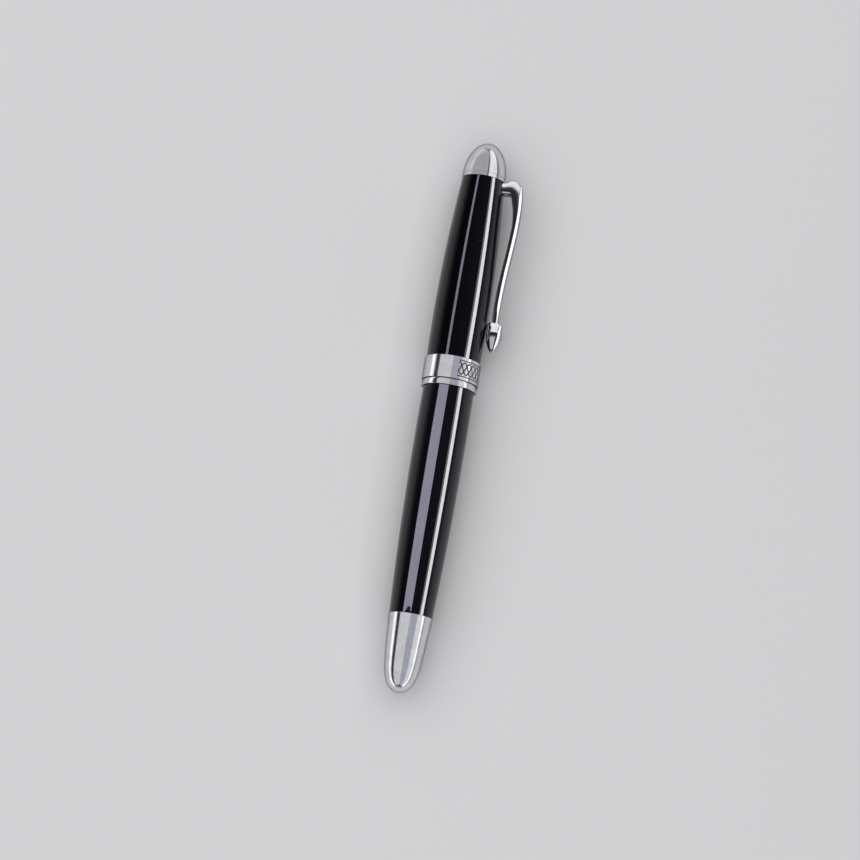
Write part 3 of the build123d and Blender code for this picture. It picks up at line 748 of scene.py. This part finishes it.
def makeNoseCone():
    # a bellied cone with three fine grooves turned just ahead of the grip
    size = noseCone
    low, high = ends("nose_cone")
    back = ends("grip_section")[1]
    side = smoothThrough([(size["base"], back), (3.93, back + 1.6), (size["belly"], (back + high) / 2),
                          (2.68, high - 1.6), (size["mouth"], high)], 120)
    for number in range(size["grooves"]):
        middle = back + size["grooveFrom"] + size["grooveStep"] * (number + 0.5)
        side[:, 0] -= size["grooveDepth"] * (1 - ease(np.abs(side[:, 1] - middle), 0.02, 0.13))
    seat = ends("point_cone")[0] + size["pointShank"] + size["seatGap"]
    profile = joined(
        (size["bore"], low), (size["spigot"], low), (size["spigot"], back), side, (size["pointBore"], high),
        (size["pointBore"], seat), (size["seat"], seat), (size["bore"], seat - size["taper"]),
    )
    return place(turnedPiece("noseCone", profile, 160, 0.05), "nose_cone")


def sweptArc(name, profile, start, end, rows):
    # a closed (radius, y) section carried round the axis from one angle to another
    profile = softenCorners(profile, 0.06, True)
    angle = np.linspace(start, end, rows)[:, None]
    radius, y = profile[:, 0][None, :], profile[:, 1][None, :] + 0 * angle
    grid = np.stack([radius * np.cos(angle), y, radius * np.sin(angle)], -1)
    return meshFromGrid(name, grid, poles=((0, grid[0].mean(0)), (-1, grid[-1].mean(0))))


def makeSnapRing():
    # a square section carried round from one side of the split to the other
    size = snapRing
    low, high = ends("snap_ring")
    half = math.radians(size["split"] / 2)
    profile = [(size["inner"], low), (size["outer"], low), (size["outer"], high), (size["inner"], high)]
    return place(sweptArc("snapRing", profile, half, 2 * np.pi - half, 120), "snap_ring")


def makeSectionThread():
    # a real helix: radius = root + depth * wave((y / pitch) + turns), with rounded crests
    size = sectionThread
    low, high = ends("section_thread")
    ringBack, ringFront = ends("trim_ring")
    start = ringBack - size["pitch"]
    end = low + size["pitch"]
    root = size["major"] - size["depth"]
    y = np.linspace(ringFront, low, 260)
    radius = np.full_like(y, size["major"])
    gripBack = ends("grip_section")[0]
    profile = joined((size["bore"], high), (size["spigot"], high), (size["spigot"], gripBack),
                     (size["major"], gripBack), np.stack([radius, y], -1), (size["bore"], low))

    def cutThread(radius, y, angle):
        phase = (y / size["pitch"] + angle / (2 * np.pi)) % 1.0
        wave = np.clip(2.6 * np.abs(phase - 0.5) - 0.15, 0, 1)
        inThread = ease(start - y, 0, 0.5) * ease(y - end, -0.1, 0.5)
        onThread = radius > size["major"] - 0.05
        depth = size["depth"] * (wave * inThread + ease(end - y, 0.0, 0.3))
        return np.where(onThread & (y < start + 0.01), radius - np.minimum(depth, size["depth"]), radius), y, angle

    return place(turnedPiece("sectionThread", profile, 144, 0.06, cutThread), "section_thread")


makeGrip()
makeNoseCone()
makeSnapRing()
makeSectionThread()
print("section done")


# the barrel and its spring

barrelTube = dict(mouthRadius=6.3, backRadius=5.3, bulge=0.45, wall=0.7, bore=5.6, bushLength=12.05)
barrelFinial = dict(radius=5.4, length=18.8, taper=0.07, blunt=7, spigot=4.0, bore=3.3)
trimRing = dict(radius=6.8, bore=4.75, crown=0.1)
barrelBack, barrelMouth = ends("barrel_tube")


def barrelRadius(y):
    # straight taper plus a bulge: 4 bulge t (1 - t)
    t = (barrelMouth - y) / (barrelMouth - barrelBack)
    return (barrelTube["mouthRadius"] + (barrelTube["backRadius"] - barrelTube["mouthRadius"]) * t
            + 4 * barrelTube["bulge"] * t * (1 - t))


def makeBarrelTube():
    # outside: the barrel's radius; inside: the same less the wall, then a straight bore for its bush
    size = barrelTube
    bushEnd = barrelMouth - size["bushLength"]
    profile = joined(
        (size["bore"], barrelMouth), run(barrelRadius, barrelMouth, barrelBack, 72),
        run(lambda y: barrelRadius(y) - size["wall"], barrelBack, bushEnd, 24), (size["bore"], bushEnd),
    )
    return place(turnedPiece("barrelTube", profile, 256, 0.07), "barrel_tube")


def makeBarrelFinial():
    # radius = (R - taper u) sqrt(1 - (u / length)^blunt), u from the barrel's end, sampled closer at the tip
    size = barrelFinial
    low, high = ends("barrel_finial")
    turn = np.linspace(0, np.pi / 2, 90)
    u = size["length"] * np.sin(turn) ** 0.9
    radius = (size["radius"] - size["taper"] * u) * np.sqrt(np.clip(1 - (u / size["length"]) ** size["blunt"], 0, 1))
    side = np.stack([radius, barrelBack - u], -1)[::-1]
    side[0] = (0, low)
    boreEnd = ends("spring_seat")[0]
    profile = joined(side, (size["spigot"], barrelBack), (size["spigot"], high), (size["bore"], high),
                     (size["bore"], boreEnd), (0, boreEnd))
    return place(turnedPiece("barrelFinial", profile, 192, 0.05), "barrel_finial")


def makeTrimRing():
    # a hoop with a gently crowned face
    size = trimRing
    low, high = ends("trim_ring")
    y = np.linspace(low, high, 16)
    face = size["radius"] - size["crown"] * np.abs((y - (low + high) / 2) / ((high - low) / 2)) ** 3
    profile = joined((size["bore"], low), np.stack([face, y], -1), (size["bore"], high))
    return place(turnedPiece("trimRing", profile, 192, 0.12), "trim_ring")


refillSpring = dict(coils=6, wire=0.25, radius=2.5, closing=0.47)  # closing: how much the end coils close up


def makeRefillSpring():
    # a circle of wire carried up a helix, with the end coils closed up
    size = refillSpring
    low, high = ends("refill_spring")
    rows = 360
    share = np.linspace(0, 1, rows)
    rise = (1 - size["closing"]) * share + size["closing"] * ease(share, 0, 1)
    angle = 2 * np.pi * size["coils"] * share
    y = low + size["wire"] + (high - low - 2 * size["wire"]) * rise
    outward = np.stack([np.cos(angle), 0 * angle, np.sin(angle)], -1)
    centre = outward * size["radius"]
    centre[:, 1] = y
    around = np.linspace(0, 2 * np.pi, 16, endpoint=False)[None, :, None]
    grid = (centre[:, None, :] + size["wire"] * (np.cos(around) * outward[:, None, :]
                                                 + np.sin(around) * np.array([0, 1, 0])))
    piece = meshFromGrid("refillSpring", grid, poles=((0, centre[0]), (-1, centre[-1])))
    place(piece, "refill_spring")
    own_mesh(piece)
    return piece


makeBarrelTube()
makeBarrelFinial()
makeTrimRing()
makeRefillSpring()
print("barrel done")


# the front of the refill

refillNose = dict(body=3.0, spigot=2.65, spigotLength=6.0, bodyLength=6.2, nose=2.2, front=1.6, taper=2.0, socket=1.1,
                  socketDepth=4.3, bore=0.85)
pointCone = dict(spigot=1.05, barrel=1.15, spigotLength=4.3, rim=0.5, taper=1.6, bore=0.425, ballHold=0.15)


def makeRefillNose():
    # a stepped plug with a tapered front and a socket for the point
    size = refillNose
    low, high = ends("refill_nose")
    bodyBack = low + size["spigotLength"]
    shoulder = bodyBack + size["bodyLength"]
    profile = joined(
        (size["bore"], low), (size["spigot"], low), (size["spigot"], bodyBack), (size["body"], bodyBack),
        (size["body"], shoulder), (size["nose"], shoulder), (size["nose"], high - size["taper"]),
        (size["front"], high), (size["socket"], high), (size["socket"], high - size["socketDepth"]),
        (size["bore"], high - size["socketDepth"]),
    )
    return place(turnedPiece("refillNose", profile, 96, 0.05), "refill_nose")


def makePointCone():
    # a turned point: shank, a shallow step, a cone, and a rim rolled over the ball
    size = pointCone
    low, high = ends("point_cone")
    shankBack = low + size["spigotLength"]
    ballRadius = (ends("ball")[1] - ends("ball")[0]) / 2
    ballY = sum(ends("ball")) / 2
    room = ballRadius + 0.02
    turn = np.linspace(math.asin(size["ballHold"] / room), -1.1, 14)
    socket = np.stack([room * np.cos(turn), ballY + room * np.sin(turn)], -1)
    coneBack = high - size["taper"]
    profile = joined(
        (size["bore"] - 0.2, low), (size["spigot"], low), (size["spigot"], shankBack), (size["barrel"], shankBack),
        (size["barrel"], coneBack - 0.9), (size["barrel"] - 0.09, coneBack - 0.75),
        (size["barrel"] - 0.09, coneBack), (size["rim"] + 0.02, high - 0.12), (size["rim"] - 0.03, high), socket,
        (size["bore"] - 0.26, ballY - 0.5), (size["bore"] - 0.2, ballY - 0.7),
    )
    return place(turnedPiece("pointCone", profile, 96, 0.02), "point_cone")


def makeBall():
    # radius sin(turn), y = centre + radius cos(turn)
    low, high = ends("ball")
    radius = (high - low) / 2
    turn = np.linspace(0, np.pi, 49)
    profile = np.stack([radius * np.sin(turn), (low + high) / 2 + radius * np.cos(turn)], -1)
    profile[[0, -1], 0] = 0
    return place(turnedPiece("rollingBall", profile, 64, 0.001), "ball")


makeRefillNose()
makePointCone()
makeBall()
print("refill done")


# floor, light and camera

stage = dict(size=6.0, colour=(0.62, 0.62, 0.63), horizon=(0.60, 0.61, 0.63), above=(0.02, 0.02, 0.024), strength=1.0)
white = (1.0, 1.0, 1.0)
# each panel lights only the pieces it is for, so that the lacquer keeps its narrow streaks
# and the bright metal gets a broad soft sky
lights = [
    # name, angle right of straight up, angle that it covers, from y, to y, colour, radiance
    dict(name="overhead", on="barrel", angle=-21.5, spread=43, low=-0.016, high=0.21, colour=(0.80, 0.80, 1.0),
         radiance=8.6),
    dict(name="capStrip", on="cap", angle=-30, spread=10, low=-0.1, high=0.55, colour=(0.80, 0.80, 1.0),
         radiance=6.5),
    dict(name="rightStrip", on="both", angle=59, spread=15, low=-0.1, high=0.4, colour=white,
         radiance=20.0),
    dict(name="stripEdge", on="both", angle=48, spread=8, low=-0.1, high=0.4, colour=(0.9, 0.9, 1.0), radiance=3.5),
    dict(name="metalLow", on="metal", angle=-84, spread=20, low=-1.2, high=1.6, colour=white, radiance=0.95),
    dict(name="metalLeft", on="metal", angle=-26, spread=56, low=-1.2, high=0.5, colour=(0.98, 0.98, 1.0),
         radiance=0.68),
    dict(name="metalMiddle", on="metal", angle=22, spread=38, low=-1.2, high=0.5, colour=(0.86, 0.86, 1.0),
         radiance=0.48),
    dict(name="metalRight", on="metal", angle=52, spread=24, low=-1.2, high=0.5, colour=(0.98, 0.98, 1.0),
         radiance=0.78),
    dict(name="metalEdge", on="metal", angle=71, spread=12, low=-1.2, high=0.5, colour=white, radiance=1.3),
    dict(name="domeLeft", on="dome", angle=-36, spread=104, low=-1.2, high=2.2, colour=(0.97, 0.98, 1.0),
         radiance=0.42),
    dict(name="domeRight", on="dome", angle=46, spread=46, low=-1.2, high=2.2, colour=white, radiance=0.95),
    dict(name="clipSide", on="clip", angle=68, spread=48, low=-0.5, high=0.6, colour=white, radiance=1.5),
    dict(name="clipBack", on="clip", angle=-5, spread=80, low=0.35, high=2.0, colour=white, radiance=1.0),
    dict(name="beadLow", on="clip", angle=-15, spread=50, low=-0.8, high=0.0, colour=(0.92, 0.92, 1.0), radiance=0.55),
    dict(name="floorSky", on="floor", angle=-8, spread=110, low=-1.2, high=1.4, colour=white,
         radiance=1.25),
]
camera = dict(azimuth=9.3, elevation=77.0, distance=0.879, lens=150.0, right=3.56, up=4.0)


def makeFloor():
    # a wide flat floor under the lowest point, with a faint change of tone
    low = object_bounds()[0]
    half = stage["size"] / 2
    corners = [(-half, -half), (half, -half), (half, half), (-half, half)]
    mesh = bpy.data.meshes.new("floor")
    mesh.from_pydata([(x, y, low.z) for x, y in corners], [], [(0, 1, 2, 3)])
    floor = bpy.data.objects.new("floor", mesh)
    bpy.context.scene.collection.objects.link(floor)
    material, tree, principled, spot = startMaterial("floorPaper", {"Specular IOR Level": 0.2})
    tone = noise(tree, spot, 3.0, 2.0)
    pale = tuple(1.03 * channel for channel in stage["colour"])
    tree.links.new(mixColour(tree, tone, stage["colour"], pale), principled.inputs["Base Color"])
    tree.links.new(remap(tree, noise(tree, spot, 900.0), 0.3, 0.7, 0.7, 0.85), principled.inputs["Roughness"])
    bumpInto(tree, principled, noise(tree, spot, 2200.0), 0.00002)
    mesh.materials.append(material)


def makeWorld():
    # pale at the horizon and dark above, so that black lacquer stays black between the lights
    world = bpy.data.worlds.new("studio")
    world.use_nodes = True
    tree = world.node_tree
    background = next(node for node in tree.nodes if node.type == "BACKGROUND")
    direction = addNode(tree, "TexCoord").outputs["Generated"]
    up = addNode(tree, "SeparateXYZ", {0: direction}).outputs["Z"]
    height = remap(tree, up, 0.03, 0.42)
    fall = mathNode(tree, "POWER", height, 0.55)
    tree.links.new(mixColour(tree, fall, stage["horizon"], stage["above"]), background.inputs["Color"])
    background.inputs["Strength"].default_value = stage["strength"]
    bpy.context.scene.world = world


# which pieces each kind of panel is for; "metal" is every other piece
litPieces = {"cap": ["capTube"], "barrel": ["barrelTube"], "both": ["capTube", "barrelTube"], "clip": ["pocketClip"],
             "dome": ["capFinial"], "floor": ["floor"]}


def receivers(kind):
    # the pieces that a panel is meant for, as a collection that its light linking reads
    collection = bpy.data.collections.new("lit_" + kind)
    special = {name for names in litPieces.values() for name in names}
    for piece in bpy.context.scene.objects:
        chosen = piece.name in litPieces[kind] if kind in litPieces else piece.name not in special
        if piece.type == "MESH" and chosen:
            collection.objects.link(piece)
    return collection


def makeLights(distance=0.55):
    # each panel stands at its angle in the plane across the pen and faces the axis
    litBy = {kind: receivers(kind) for kind in ("metal", *litPieces)}
    for entry in lights:
        angle = math.radians(entry["angle"])
        light = bpy.data.lights.new(entry["name"], "AREA")
        light.shape = "RECTANGLE"
        light.size = 2 * distance * math.tan(math.radians(entry["spread"]) / 2)
        light.size_y = entry["high"] - entry["low"]
        light.color = entry["colour"]
        light.energy = entry["radiance"] * math.pi * light.size * light.size_y
        panel = bpy.data.objects.new(entry["name"], light)
        away = Vector((math.sin(angle), 0, math.cos(angle)))
        panel.location = away * distance + Vector((0, (entry["low"] + entry["high"]) / 2, 0))
        along = Vector((0, 1, 0))
        panel.rotation_mode = "QUATERNION"
        panel.rotation_quaternion = Matrix((along.cross(away), along, away)).transposed().to_quaternion()
        panel.light_linking.receiver_collection = litBy[entry["on"]]
        bpy.context.scene.collection.objects.link(panel)


def makeCamera():
    # looks at the pen's middle from above its barrel end, with the pen a little right of and above centre
    a, e = math.radians(camera["azimuth"]), math.radians(camera["elevation"])
    back = Vector((math.sin(a) * math.cos(e), -math.cos(a) * math.cos(e), math.sin(e)))
    right = Vector((math.cos(a), math.sin(a), 0))
    up = back.cross(right)
    middle = Vector((0, (cadLow.y + cadHigh.y) / 2, 0))
    target = middle - right * camera["right"] * mm - up * camera["up"] * mm
    lens = bpy.data.cameras.new("camera")
    lens.lens = camera["lens"]
    lens.clip_start, lens.clip_end = 0.05, 20
    eye = bpy.data.objects.new("camera", lens)
    eye.location = target + back * camera["distance"]
    eye.rotation_mode = "QUATERNION"
    eye.rotation_quaternion = (-back).to_track_quat("-Z", "Y")
    bpy.context.scene.collection.objects.link(eye)
    bpy.context.scene.camera = eye


makeFloor()
makeWorld()
makeLights()
makeCamera()
bpy.context.scene.view_settings.view_transform = "Standard"
print("stage, lights and camera done")
